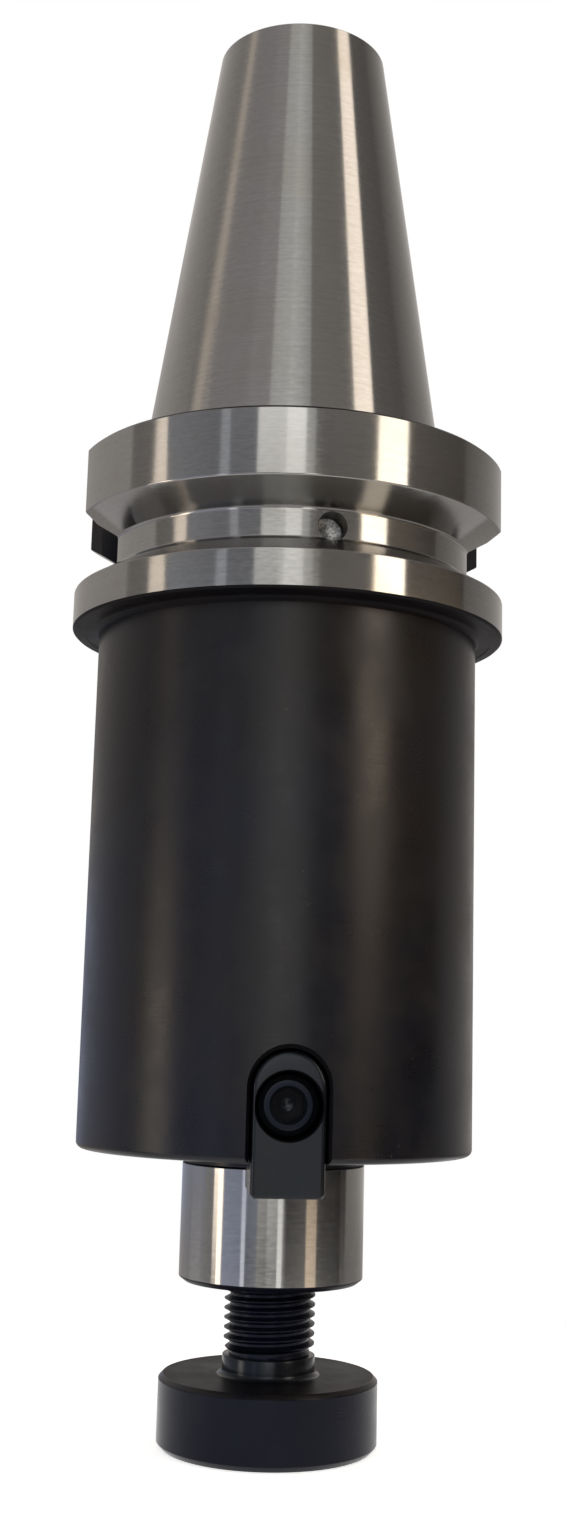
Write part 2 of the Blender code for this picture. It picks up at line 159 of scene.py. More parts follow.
class ScrewSizes(PropertyGroup):
    """Sizes of the lock screw and of the keys' screws."""

    lock_thread: length("Lock thread", "Major diameter of the lock screw's thread", 12.5 * MM)
    lock_pitch: length("Lock pitch", "Pitch of the lock screw's thread", 1.27 * MM)
    lock_collar: length("Lock collar", "Diameter of the plain collar under the head", 12.7 * MM)
    lock_head: length("Lock head", "Thickness of the lock screw's head", 9.5 * MM)
    lock_hex: length("Lock hexagon", "Width across flats of the lock screw's socket", 9.525 * MM)
    key_thread: length("Key screw thread", "Major diameter of a key screw's thread", 4.83 * MM)
    key_pitch: length("Key screw pitch", "Pitch of a key screw's thread", 1.058 * MM)
    key_head: length("Key screw head", "Height of a key screw's head", 4.83 * MM)
    key_hex: length("Key screw hexagon", "Width across flats of a key screw's socket", 3.97 * MM)


class Finishes(PropertyGroup):
    """Colours and roughness of the metal."""

    steel: tint("Ground steel", "Colour of the ground steel", (0.33, 0.327, 0.321))
    steel_roughness: share("Steel roughness", "Roughness of the ground steel", 0.13)
    steel_lines: share("Grinding lines", "How far the grinding lines stretch a highlight", 0.92)
    black: tint("Black oxide", "Colour of the black oxide", (0.0045, 0.0045, 0.0065))
    screw_black: tint("Screw oxide", "Colour of the oxide on the lock screw", (0.004, 0.0048, 0.0075))
    key_black: tint("Key oxide", "Colour of the oxide on keys and key screws", (0.006, 0.0068, 0.0075))
    black_roughness: share("Oxide roughness", "Roughness of the black oxide", 0.3)
    black_gloss: share("Oxide gloss", "Specular level of the black oxide", 0.3)


class StudioSizes(PropertyGroup):
    """The floor, the ring of light panels and the backdrop."""

    floor_radius: length("Floor radius", "Radius of the round floor", 110.0 * MM)
    floor_glow: share("Floor glow", "How far the floor is lifted to white for the camera", 0.72)
    ring_radius: length("Ring radius", "Distance of the light panels from the axis", 3000.0 * MM)
    fill: share("Fill light", "Level of the light from above the panels", 0.35, 3.0)


def ramp(ramp_node, stops):
    """Give a colour ramp its stops: the first two move, and further ones are added."""
    elements = ramp_node.color_ramp.elements
    while len(elements) < len(stops):
        elements.new(1.0)
    for element, (position, colour) in zip(elements, stops):
        element.position = position
        element.color = (*colour, 1.0)


class Wire:
    """An output socket of a node. Arithmetic on it adds Math nodes to its tree."""

    def __init__(self, tree, socket):
        self.tree = tree
        self.socket = socket

    def node(self, kind, settings, inputs, output=0):
        """Add any other node: its type, its settings and then a value or a wire for each socket."""
        node = self.tree.nodes.new(kind)
        for name, value in settings.items():
            if name == "stops":
                ramp(node, value)
            else:
                setattr(node, name, value)
        for name, value in inputs.items():
            if isinstance(value, Wire):
                self.tree.links.new(value.socket, node.inputs[name])
            else:
                node.inputs[name].default_value = value
        return Wire(self.tree, node.outputs[output])

    def math(self, operation, *terms):
        """Add a Math node that works on wires and numbers."""
        return self.node("ShaderNodeMath", {"operation": operation}, dict(enumerate(terms)))

    def __add__(self, other):
        return self.math("ADD", self, other)

    def __radd__(self, other):
        return self.math("ADD", other, self)

    def __sub__(self, other):
        return self.math("SUBTRACT", self, other)

    def __rsub__(self, other):
        return self.math("SUBTRACT", other, self)

    def __mul__(self, other):
        return self.math("MULTIPLY", self, other)

    def __rmul__(self, other):
        return self.math("MULTIPLY", other, self)

    def __truediv__(self, other):
        return self.math("DIVIDE", self, other)

    def __pow__(self, other):
        return self.math("POWER", self, other)

    def band(self, low, high):
        """0 below low, 1 above high and a smooth rise between them."""
        return self.node(
            "ShaderNodeMapRange",
            {"interpolation_type": "SMOOTHSTEP"},
            {"Value": self, "From Min": low, "From Max": high},
        )

    def pick(self, first, second):
        """Mix two colours: the first where this is 0 and the second where it is 1."""
        return self.node("ShaderNodeMix", {"data_type": "RGBA"}, {0: self, 6: first, 7: second}, output=2)


class Paint:
    """A material with a Principled shader, and the coordinates that its patterns read."""

    def __init__(self, name):
        self.material = bpy.data.materials.new(name)
        self.material.use_nodes = True
        self.tree = self.material.node_tree
        self.shader = self.tree.nodes["Principled BSDF"]
        start = Wire(self.tree, None)
        self.place = start.node("ShaderNodeTexCoord", {}, {}, output="Object")
        split = self.tree.nodes.new("ShaderNodeSeparateXYZ")
        self.tree.links.new(self.place.socket, split.inputs[0])
        self.x, self.y, self.z = (Wire(self.tree, socket) for socket in split.outputs)
        self.radius = (self.x * self.x + self.y * self.y) ** 0.5
        self.along = self.z + self.radius

    def set(self, **inputs):
        """Give the shader's sockets a value or a wire. An underscore stands for a space."""
        for name, value in inputs.items():
            socket = self.shader.inputs[name.replace("_", " ")]
            if isinstance(value, Wire):
                self.tree.links.new(value.socket, socket)
            else:
                socket.default_value = value

    def noise(self, scale, detail=2.0, roughness=0.5):
        """Noise that is as fine in every direction. The scale is in features to a metre."""
        return self.place.node(
            "ShaderNodeTexNoise",
            {},
            {"Vector": self.place, "Scale": scale, "Detail": detail, "Roughness": roughness},
        )

    def lines(self, around, across, detail=2.0):
        """Noise drawn out into lines round the axis: so many features to a metre round the axis, and
        so many across the lines, which run on cylinders, cones and faces alike."""
        stretched = {"X": self.x * around, "Y": self.y * around, "Z": self.along * across}
        vector = self.place.node("ShaderNodeCombineXYZ", {}, stretched)
        settings = {"Vector": vector, "Scale": 1.0, "Detail": detail}
        return self.place.node("ShaderNodeTexNoise", {}, settings)

    def bump(self, height, depth):
        """Bump of a height from 0 to 1 over a depth in metres."""
        return self.place.node(
            "ShaderNodeBump", {}, {"Height": height, "Distance": depth, "Strength": 1.0}, output="Normal"
        )


def ground_steel(finishes):
    """Bright ground steel: fine lines round the axis, a grain that sparkles and faint smudges."""
    paint = Paint(FINISH_NAMES[GROUND])
    lines = paint.lines(30.0, 7000.0)
    dashes = paint.lines(900.0, 3600.0, 1.0)
    grain = paint.noise(2600.0, 1.0)
    smudge = paint.noise(60.0, 3.0, 0.6).band(0.45, 0.75)
    steel = Vector(finishes.steel)
    shade = (lines * 0.5 + dashes * 0.5).band(0.25, 0.75)
    colour = shade.pick((*(steel * 0.93), 1.0), (*(steel * 1.07), 1.0))
    warm = (steel.x * 0.92, steel.y * 0.88, steel.z * 0.8, 1.0)
    roughness = finishes.steel_roughness + smudge * 0.05 + (dashes - 0.5) * 0.05
    paint.set(
        Base_Color=(smudge * 0.6).pick(colour, warm),
        Metallic=1.0,
        Roughness=roughness,
        Anisotropic=finishes.steel_lines,
        Anisotropic_Rotation=0.25,
        Normal=paint.bump(lines * 0.3 + dashes * 0.15 + grain * 0.25, 0.0022 * MM),
    )
    return paint.material


def black_oxide(
    finishes, name, black=None, sheen=(1.0, 1.0, 1.0), rough=0.0, gloss=1.0, tints=0.5, marks=1.0
):
    """Black oxide on turned steel: fine lines, brown and blue clouds, worn patches and small light
    specks. A colour takes the place of the body's own. The sheen's colour, the added roughness, the
    gloss, the depth of the tints and the strength of the specks change from piece to piece."""
    paint = Paint(name)
    lines = paint.lines(60.0, 5000.0)
    mottle = paint.noise(110.0, 5.0, 0.65)
    cloud = paint.noise(32.0, 3.0, 0.55)
    specks = paint.noise(1500.0, 2.0, 0.7).band(0.71, 0.79)
    specks = specks * paint.noise(120.0).band(0.48, 0.6) * marks
    black = Vector(finishes.black if black is None else black)
    brown = (black.x * (1 + tints), black.y * (1 + 0.3 * tints), black.z * (1 - 0.4 * tints), 1.0)
    blue = (black.x * (1 - 0.5 * tints), black.y * (1 - 0.1 * tints), black.z * (1 + tints), 1.0)
    colour = cloud.band(0.35, 0.65).pick(blue, brown)
    worn = (black.x * (1 + 3 * tints), black.y * (1 + 2.4 * tints), black.z * (1 + 1.4 * tints), 1.0)
    colour = (mottle.band(0.46, 0.7) * 0.6).pick(colour, worn)
    colour = specks.pick(colour, (0.09, 0.085, 0.08, 1.0))
    paint.set(
        Base_Color=colour,
        Metallic=0.0,
        Roughness=finishes.black_roughness + rough + (mottle - 0.5) * 0.32 + (lines - 0.5) * 0.05,
        Specular_IOR_Level=finishes.black_gloss * gloss,
        Specular_Tint=(*sheen, 1.0),
        Normal=paint.bump(lines * 0.4 + mottle * 0.6, 0.007 * MM),
    )
    return paint.material


def drilled_steel(finishes):
    """Bare drilled steel, rougher and darker than the ground surfaces, with a coarse grain."""
    paint = Paint(FINISH_NAMES[DRILLED])
    grain = paint.noise(3000.0, 2.0)
    steel = Vector(finishes.steel)
    paint.set(
        Base_Color=grain.band(0.3, 0.7).pick((*(steel * 0.45), 1.0), (*(steel * 1.2), 1.0)),
        Metallic=1.0,
        Roughness=0.28 + grain * 0.1,
        Normal=paint.bump(grain, 0.02 * MM),
    )
    return paint.material


def materials():
    """The finishes, made once and shared by the pieces, in the order of their places."""
    finishes = bpy.context.scene.holder_finishes
    if FINISH_NAMES[GROUND] not in bpy.data.materials:
        ground_steel(finishes)
        black_oxide(finishes, FINISH_NAMES[BLACK])
        black_oxide(finishes, FINISH_NAMES[TURNED], rough=0.12, gloss=0.25, marks=0.5)
        drilled_steel(finishes)
        black_oxide(
            finishes,
            FINISH_NAMES[SCREW],
            black=finishes.screw_black,
            sheen=(0.62, 0.68, 1.0),
            rough=-0.06,
            gloss=0.62,
            tints=0.25,
            marks=0.3,
        )
        # The seat finish's black is darker than the body's oxide. That darker black is painted shade for
        # the recesses that take it: the keys' seats, the counterbores in the keys and the sides of the key
        # screws' heads in them.
        painted_shade_black = (0.0015, 0.0015, 0.002)
        black_oxide(finishes, FINISH_NAMES[SHADED_SEAT], black=painted_shade_black, rough=0.15, gloss=0.15, marks=0.0)
        black_oxide(
            finishes,
            FINISH_NAMES[KEY],
            black=finishes.key_black,
            sheen=(0.8, 0.88, 1.0),
            rough=-0.08,
            gloss=0.95,
            tints=0.3,
        )
    return [bpy.data.materials[name] for name in FINISH_NAMES]


class Outline:
    """Outline of a turned piece as (radius, height) points, down its outer side and up its bore.
    Each stretch has a finish, and each corner can be rounded."""

    def __init__(self, radius, height):
        self.corners = [(radius, height)]
        self.edges = [0.0]
        self.finishes = []

    def to(self, radius, height, finish=BLACK, edge=0.0):
        """Run straight to a corner that is rounded to the radius edge."""
        self.corners.append((radius, height))
        self.edges.append(edge)
        self.finishes.append(finish)
        return self

    def bend(self, centre, radius, start, end, finish=BLACK):
        """Run along an arc round a centre, from one angle to another, both ends included."""
        for angle in np.linspace(start, end, ROUND_STEPS + 1):
            self.to(centre[0] + radius * cos(angle), centre[1] + radius * sin(angle), finish)
        return self

    def rows(self):
        """The points with each rounded corner as an arc that touches both of its sides, and the
        finish of the stretch after each point."""
        corners = np.array(self.corners)
        points = [corners[:1]]
        finishes = []
        for i in range(1, len(corners) - 1):
            turned = [corners[i]] if not self.edges[i] else rounded(corners[i - 1 : i + 2], self.edges[i])
            points.append(np.array(turned))
            finishes += [self.finishes[i - 1]] + [self.finishes[i]] * (len(turned) - 1)
        points.append(corners[-1:])
        return np.concatenate(points), np.array(finishes + self.finishes[-1:])


def rounded(corner, radius):
    """Arc of a radius that touches both sides of a corner, given as the points before, at and after
    it. Its centre lies on the bisector, radius / sin(half the angle) from the corner."""
    before = (corner[0] - corner[1]) / np.linalg.norm(corner[0] - corner[1])
    after = (corner[2] - corner[1]) / np.linalg.norm(corner[2] - corner[1])
    half = np.arccos(np.clip(before @ after, -1, 1)) / 2
    middle = (before + after) / np.linalg.norm(before + after)
    centre = corner[1] + middle * radius / sin(half)
    first = corner[1] + before * radius / tan(half) - centre
    last = corner[1] + after * radius / tan(half) - centre
    start = atan2(first[1], first[0])
    sweep = (atan2(last[1], last[0]) - start + pi) % TURN - pi
    angle = start + sweep * np.linspace(0, 1, EDGE_STEPS + 1)
    return centre + radius * np.column_stack((np.cos(angle), np.sin(angle)))


def round_points(radius, height):
    """Points (r cos a, r sin a, h) of a grid: each row is a ring at an even run of angles a, and the
    radius r and height h may change along a ring."""
    angle = TURN * np.arange(radius.shape[1]) / radius.shape[1]
    return np.stack((radius * np.cos(angle), radius * np.sin(angle), height), axis=-1).reshape(-1, 3)


def ring_faces(rows, segments, shift=0):
    """Quads between neighbouring rows of a round grid. A shift joins the end of each row to the
    start of the row that many further on, as on a helix. Rows that run down the outside give faces
    that point outwards."""
    row = np.arange(rows - 1)[:, None]
    column = np.arange(segments)[None, :]
    last = column == segments - 1

    def corner(at, across):
        moved = np.where(last & across, np.clip(at + shift, 0, rows - 1), at)
        return moved * segments + (column + across) % segments

    return np.stack(
        (corner(row, 0), corner(row + 1, 0), corner(row + 1, 1), corner(row, 1)), axis=-1
    ).reshape(-1, 4)


def turned(outline, segments):
    """Surface of an outline swept round the axis: points, faces and the finish of each face."""
    points, finishes = outline.rows()
    radius = np.repeat(points[:, :1], segments, axis=1)
    height = np.repeat(points[:, 1:], segments, axis=1)
    return round_points(radius, height), ring_faces(len(points), segments), np.repeat(finishes, segments)


def threaded(segments, start, end, pitch, major, minor, ends, crest_phase=0.0, finish=BLACK):
    """Surface of a right-hand thread between two heights. A point of row i at angle a has the height
    s + pitch * a / 360 degrees, kept between the two ends, where s steps through the edges of crest
    and root, an eighth and a quarter of the pitch wide. The radius is the crest's or the root's, and
    it runs out to a plain ring at each end, whose radii are given in the order of start and end."""
    steps = np.array((-1 / 16, 1 / 16, 3 / 8, 5 / 8))
    radii = np.array((major, major, minor, minor)) / 2
    low, high = min(start, end), max(start, end)
    turns = np.arange(-2, int((high - low) / pitch) + 2)
    run = (turns[:, None] + steps).ravel() * pitch + low + crest_phase
    ring = np.tile(radii, len(turns))
    rim = dict(zip((start, end), ends))
    if start > end:
        run, ring = run[::-1], ring[::-1]
    angle = np.arange(segments) / segments
    height = np.clip(run[:, None] + pitch * angle, low, high)
    fade_low = np.clip((height - low) / pitch, 0, 1)
    fade_high = np.clip((high - height) / pitch, 0, 1)
    radius = rim[low] + (ring[:, None] - rim[low]) * fade_low
    radius = rim[high] + (radius - rim[high]) * fade_high
    shift = len(steps) if start < end else -len(steps)
    faces = ring_faces(len(run), segments, shift)
    return round_points(radius, height), faces, np.full(len(faces), finish)


def put(name, data):
    """Add an object with a mesh or a camera to the scene."""
    item = bpy.data.objects.new(name, data)
    bpy.context.scene.collection.objects.link(item)
    return item


def piece(name, *surfaces, place=None):
    """One object from several surfaces, whose shared rings are welded together."""
    points, faces, finishes = zip(*surfaces)
    starts = np.cumsum([0] + [len(part) for part in points[:-1]])
    mesh = bpy.data.meshes.new(name)
    mesh.from_pydata(
        np.concatenate(points), [], np.concatenate([part + at for part, at in zip(faces, starts)])
    )
    mesh.polygons.foreach_set("material_index", np.concatenate(finishes).astype(np.int32))
    for material in materials():
        mesh.materials.append(material)
    shape = bmesh.new()
    shape.from_mesh(mesh)
    bmesh.ops.remove_doubles(shape, verts=shape.verts, dist=WELD)
    shape.to_mesh(mesh)
    shape.free()
    if place:
        mesh.transform(place)
    return put(name, mesh)


def cut(item, cutters):
    """Take the cutters out of a piece and remove them."""
    for cutter in cutters:
        boolean = item.modifiers.new(cutter.name, "BOOLEAN")
        boolean.operation = "DIFFERENCE"
        boolean.solver = "EXACT"
        boolean.object = cutter
    graph = bpy.context.evaluated_depsgraph_get()
    mesh = bpy.data.meshes.new_from_object(item.evaluated_get(graph))
    item.modifiers.clear()
    item.data = mesh
    for cutter in cutters:
        bpy.data.objects.remove(cutter)


def complete(item, body, slot, *nodes):
    """Shade a piece smooth between crisp edges, weigh its normals by area and put it on its body."""
    item.data.shade_smooth()
    item.data.set_sharp_from_angle(angle=CRISP_EDGE)
    normals = item.modifiers.new("normals", "WEIGHTED_NORMAL")
    normals.keep_sharp = True
    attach(item, body)
    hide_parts(*nodes)


def spoke(angle, height=0.0):
    """Place on the axis that turns +Z outwards at an angle from -Y towards +X, with +Y upwards."""
    turn = Matrix.Rotation(angle, 4, "Z") @ Matrix.Rotation(pi / 2, 4, "X")
    return Matrix.Translation((0.0, 0.0, height)) @ turn


def key_rim(width, top, bottom, corner):
    """Outline of a key as points and outward normals: arcs for the half-round crown and the two
    bottom corners, which straight sides join."""
    half = width / 2
    quarter = np.linspace(0, pi / 2, ROUND_STEPS + 1)
    crown = np.linspace(0, pi, 6 * ROUND_STEPS + 1)
    angle = np.concatenate((crown, pi + quarter, 1.5 * pi + quarter))
    normal = np.column_stack((np.cos(angle), np.sin(angle)))
    inset = half - corner
    centres = np.array(((0, top - half), (-inset, bottom + corner), (inset, bottom + corner)))
    counts = (len(crown), len(quarter), len(quarter))
    radius = np.repeat((half, corner, corner), counts)[:, None]
    return np.repeat(centres, counts, axis=0) + normal * radius, normal


def lofted(rim, normal, sections, pole, finish=BLACK):
    """Surface of an outline carried along +Z. Each section is a height, a number or one for each
    point, and how far the outline is offset outwards there. Both ends close on a pole."""
    rings = [
        np.column_stack((rim + normal * offset, np.broadcast_to(height, len(rim))))
        for height, offset in sections
    ]
    low = np.array((*pole, np.min(sections[0][0])))
    high = np.array((*pole, np.max(sections[-1][0])))
    rings = [np.broadcast_to(low, rings[0].shape)] + rings + [np.broadcast_to(high, rings[0].shape)]
    faces = ring_faces(len(rings), len(rim))[:, ::-1]
    return np.concatenate(rings), faces, np.full(len(faces), finish)


def heights(sizes):
    """Heights of the holder's faces above the origin, worked out from its small end."""
    end = HOLDER_HIGH.z
    gauge = end - sizes.taper_length
    return end, gauge, gauge - sizes.gauge_length


def holder_outline(sizes):
    """Outline of the holder from the pull stud's thread up, over the taper, the flange and the body
    down to the pilot's end."""
    end, gauge, seat = heights(sizes)
    bore = sizes.stud_bore / 2
    neck = sizes.gauge_diameter / 2
    small = neck - sizes.taper_length * TAPER_SLOPE
    flange = HOLDER_HIGH.x
    body = sizes.body_diameter / 2
    pilot = sizes.pilot_diameter / 2
    relief = sizes.taper_relief
    top = gauge - sizes.flange_drop
    bottom = gauge - sizes.flange_bottom
    flare = 0.8 * MM
    outline = Outline(sizes.stud_thread / 2, end - sizes.stud_bore_depth)
    outline.to(bore, end - sizes.stud_bore_depth)
    outline.to(bore, end - flare, edge=DEBURR).to(bore + flare, end, edge=DEBURR)
    rim, rim_edge = 0.2 * MM, 0.08 * MM
    outline.to(small - rim, end, BLACK, rim_edge)
    outline.to(small + rim * TAPER_SLOPE, end - rim, GROUND, rim_edge)
    overrun = 0.72 * MM
    outline.to(neck + overrun * TAPER_SLOPE, gauge - overrun, GROUND, DEBURR)
    outline.to(neck - relief, top + 2.2 * relief, BLACK)
    outline.to(neck - relief, top + relief, BLACK, DEBURR).to(neck, top, BLACK)
    outline.to(flange - 0.5 * MM, top, GROUND, DEBURR).to(flange, top - 0.4 * MM, TURNED, DEBURR)
    groove(outline, sizes, gauge - sizes.groove_drop, flange)
    bevel = 0.3 * MM
    outline.to(flange, bottom + bevel, GROUND, DEBURR).to(flange - bevel, bottom, TURNED, DEBURR)
    land, step = 1.6 * MM, 0.1 * MM
    outline.to(flange - land, bottom - step, TURNED, DEBURR)
    outline.to(flange - land - 0.12 * MM, bottom, TURNED)
    fillet = 0.9 * MM
    outline.bend((body + fillet, bottom - fillet), fillet, pi / 2, pi, TURNED)
    edge = 0.9 * MM
    outline.bend((body - edge, seat + edge), edge, 0.0, -pi / 2, BLACK)
    shallow, undercut = 0.25 * MM, 1.6 * MM
    outline.to(pilot - shallow, seat, BLACK, 0.12 * MM).to(pilot - shallow, seat - undercut)
    outline.to(pilot, seat - undercut - shallow, BLACK, DEBURR)
    outline.to(pilot, HOLDER_LOW.z + 0.6 * MM, GROUND, 0.3 * MM)
    outline.to(pilot - 0.8 * MM, HOLDER_LOW.z, TURNED, 0.2 * MM)
    return outline


def groove(outline, sizes, centre, flange):
    """The V-groove: two flanks at 30 degrees from the plane of the flange and a rounded floor."""
    angle = radians(30)
    mouth = sizes.groove_mouth / 2
    floor = sizes.groove_floor / 2
    flat = mouth - (flange - floor) * tan(angle)
    edge, root = 0.3 * MM, 0.6 * MM
    outline.to(flange, centre + mouth, GROUND, edge).to(floor, centre + flat, GROUND, root)
    outline.to(floor, centre - flat, GROUND, root).to(flange, centre - mouth, GROUND, edge)


def bore_outline(outline, sizes, screws):
    """From the pilot's end up the lock screw's hole and the coolant hole to the stud's thread."""
    end = HOLDER_HIGH.z
    hole = screws.lock_collar / 2 + CLEARANCE
    coolant = sizes.coolant_hole / 2
    stud = sizes.stud_thread / 2 - STUD_THREAD_DEPTH
    stop = HOLDER_LOW.z + 35.5 * MM
    mouth = 0.9 * MM
    outline.to(hole + mouth, HOLDER_LOW.z, GROUND, DEBURR)
    outline.to(hole, HOLDER_LOW.z + mouth, BLACK, DEBURR).to(hole, stop)
    outline.to(coolant, stop + (hole - coolant) / tan(DRILL_HALF_ANGLE))
    outline.to(coolant, end - sizes.stud_depth - (stud - coolant) / tan(DRILL_HALF_ANGLE))
    outline.to(stud, end - sizes.stud_depth)
    return outline


def slot_cutter(side, sizes):
    """Cutter for a spindle key's slot: a plan with 45-degree chamfers at the rim, extruded from the
    lower ring of the flange past its top."""
    half = sizes.slot_width / 2
    chamfer = 1.7 * MM
    gauge = heights(sizes)[1]
    rim = sqrt(HOLDER_HIGH.x**2 - (half + chamfer) ** 2)
    plan = np.array(
        (
            (sizes.slot_floor, -half),
            (rim - chamfer, -half),
            (rim + REACH, -half - chamfer - REACH),
            (rim + REACH, half + chamfer + REACH),
            (rim - chamfer, half),
            (sizes.slot_floor, half),
        )
    ) * side
    bottom = gauge - sizes.groove_drop - sizes.groove_mouth / 2
    sections = [(bottom, 0), (gauge + REACH, 0)]
    return piece("slot", lofted(plan, np.zeros_like(plan), sections, plan.mean(axis=0)))


def seat_cutter(angle, sizes):
    """Cutter for a key's seat. Its sides run out from the floor to a chamfer's width below the round
    body, which lies at sqrt(R^2 - x^2) there, and then flare at 45 degrees."""
    seat = heights(sizes)[2]
    chamfer = 0.55 * MM
    past = 2 * MM
    width = KEY_HIGH.x - KEY_LOW.x + 2 * CLEARANCE
    rim, normal = key_rim(width, KEY_HIGH.z + CLEARANCE, seat - REACH, KEY_CORNER)
    surface = np.sqrt((sizes.body_diameter / 2) ** 2 - rim[:, 0] ** 2)
    floor = -KEY_HIGH.y - CLEARANCE
    sections = [(floor, 0), (surface - chamfer, 0), (surface + past, chamfer + past)]
    # The seat's walls take the seat finish, whose darker black is painted shade.
    return piece("seat", lofted(rim, normal, sections, (0, seat), SHADED_SEAT), place=spoke(angle))


def drill_cutter(name, radius, floor, flare, angle, height, finish, hole=None):
    """Cutter for a drilled hole along a spoke: a cone at the floor, or a flat floor with a smaller
    hole in it, and a flared mouth as (distance from the axis, width)."""
    top = flare[0] + REACH
    outline = Outline(0.0, top).to(radius + (REACH + flare[1] if flare[1] else 0.0), top, finish)
    outline.to(radius, flare[0] - flare[1], finish).to(radius, floor, finish)
    if hole:
        outline.to(hole, floor, finish).to(hole, 0.0, finish).to(0.0, 0.0, finish)
    else:
        outline.to(0.0, floor - radius / tan(DRILL_HALF_ANGLE), finish)
    return piece(name, turned(outline, KEY_SCREW_SEGMENTS), place=spoke(angle, height))


def hex_socket(across, chamfer, depth, face, segments, sign, finish):
    """Surface of a hexagonal socket from its mouth in a face to its floor. It opens to +Z for a sign
    of 1 and to -Z for -1. The wall's radius at angle a is half the width across flats over cos(a')
    with a' folded to within 30 degrees, and the conical chamfer meets the wall where their radii are
    equal."""
    angle = TURN * np.arange(segments) / segments
    wall = across / 2 / np.cos((angle + pi / 6) % (pi / 3) - pi / 6)
    mouth = across / sqrt(3) + chamfer
    point = 0.2 * across
    tip = depth + point / tan(DRILL_HALF_ANGLE)
    ones = np.ones_like(wall)
    radius = np.stack((mouth * ones, wall, wall, point * ones, 0 * ones))
    depths = np.stack((0 * ones, mouth - wall, depth * ones, depth * ones, tip * ones))
    height = face - sign * depths
    finishes = np.repeat((finish, KEY, TURNED, finish), segments)
    return round_points(radius, height), ring_faces(len(radius), segments)[:, ::-sign], finishes


class Make(Operator):
    """Shared by the operators: each makes its pieces once and undoes in one step."""

    bl_options = {"REGISTER", "UNDO"}


class OBJECT_OT_mill_holder_body(Make):
    """Make the turned holder with its taper, flange, body and pilot"""

    bl_idname = "object.mill_holder_body"
    bl_label = "Holder"

    def execute(self, context):
        sizes = context.scene.holder_sizes
        screws = context.scene.holder_screws
        outline = bore_outline(holder_outline(sizes), sizes, screws)
        end = HOLDER_HIGH.z
        major, minor = sizes.stud_thread, sizes.stud_thread - 2 * STUD_THREAD_DEPTH
        thread = threaded(
            HOLDER_SEGMENTS,
            end - sizes.stud_depth,
            end - sizes.stud_bore_depth,
            sizes.stud_pitch,
            minor,
            major,
            (minor / 2, major / 2),
        )
        item = piece("turned_holder", turned(outline, HOLDER_SEGMENTS), thread)
        side = radians(8.5)
        height = heights(sizes)[1] - 16.9 * MM
        radius = sizes.balance_hole / 2
        outer = sizes.groove_floor / 2
        mouth = (outer + REACH, 0.0)
        balance = drill_cutter("balance", radius, outer - 3.5 * MM, mouth, side, height, DRILLED)
        cut(item, [slot_cutter(-1, sizes), slot_cutter(1, sizes), balance])
        cut(item, [seat_cutter(angle, sizes) for where, angle in SIDES])
        complete(item, "holder", "ground_steel", "holder_body")
        return {"FINISHED"}


class OBJECT_OT_mill_holder_keys(Make):
    """Make the two drive keys that turn the cutter"""

    bl_idname = "object.mill_holder_keys"
    bl_label = "Drive Keys"

    def execute(self, context):
        screws = context.scene.holder_screws
        outer, inner = -KEY_LOW.y, -KEY_HIGH.y
        height = KEY_SCREW_HEIGHT
        bearing = -KEY_SCREW_LOW.y - screws.key_head - CLEARANCE
        head = KEY_SCREW_HIGH.x + 0.35 * MM
        hole = screws.key_thread / 2 + CLEARANCE
        mouth = (outer, 0.2 * MM)
        rim, normal = key_rim(KEY_HIGH.x - KEY_LOW.x, KEY_HIGH.z, KEY_LOW.z, KEY_CORNER)
        edge, chamfer = 0.6 * MM, 0.5 * MM
        sections = [(inner, -chamfer), (inner + chamfer, 0.0)]
        for a in np.linspace(0, pi / 2, ROUND_STEPS + 1):
            sections.append((outer - edge + edge * sin(a), edge * cos(a) - edge))
        for where, side in SIDES:
            blank = lofted(rim, normal, sections, (0, height), KEY)
            key = piece(where + "_key", blank, place=spoke(side))
            # The counterbore round the key screw takes the seat finish, whose darker black is painted
            # shade.
            cut(key, [drill_cutter("bore", head, bearing, mouth, side, height, SHADED_SEAT, hole)])
            complete(key, "holder", "black_oxide", "drive_key_" + where)
        return {"FINISHED"}


class OBJECT_OT_mill_holder_key_screws(Make):
    """Make the socket head screws that hold the keys"""

    bl_idname = "object.mill_holder_key_screws"
    bl_label = "Key Screws"

    def execute(self, context):
        screws = context.scene.holder_screws
        face = -KEY_SCREW_LOW.y
        bearing = face - screws.key_head
        tip = -KEY_SCREW_HIGH.y
        head = KEY_SCREW_HIGH.x
        shank = screws.key_thread / 2
        root = shank - 0.6 * screws.key_pitch
        chamfer = 0.15 * MM
        mouth = screws.key_hex / sqrt(3) + chamfer
        edge, bevel = 0.3 * MM, 0.3 * MM
        thread_start, thread_end = bearing - 1.2 * MM, tip + bevel
        top = Outline(mouth, face).to(head - 0.85 * MM, face, SCREW, edge)
        # The side of the head, down in the key's counterbore, takes the seat finish, whose darker black is
        # painted shade.
        top.to(head, face - 0.5 * MM, KEY, edge).to(head, bearing, SHADED_SEAT, 0.2 * MM)
        top.to(shank, bearing).to(shank, bearing - 1.0 * MM).to(root, thread_start)
        end = Outline(root, thread_end).to(root - bevel, tip).to(0.0, tip)
        thread = threaded(
            KEY_SCREW_SEGMENTS,
            thread_start,
            thread_end,
            screws.key_pitch,
            2 * shank,
            2 * root,
            (root, root),
        )
        socket = hex_socket(screws.key_hex, chamfer, 2.4 * MM, face, KEY_SCREW_SEGMENTS, 1, KEY)
        for where, side in SIDES:
            surfaces = (turned(top, KEY_SCREW_SEGMENTS), thread, turned(end, KEY_SCREW_SEGMENTS), socket)
            screw = piece(where + "_key_screw", *surfaces, place=spoke(side, KEY_SCREW_HEIGHT))
            complete(screw, "holder", "black_oxide", "key_screw_" + where)
        return {"FINISHED"}


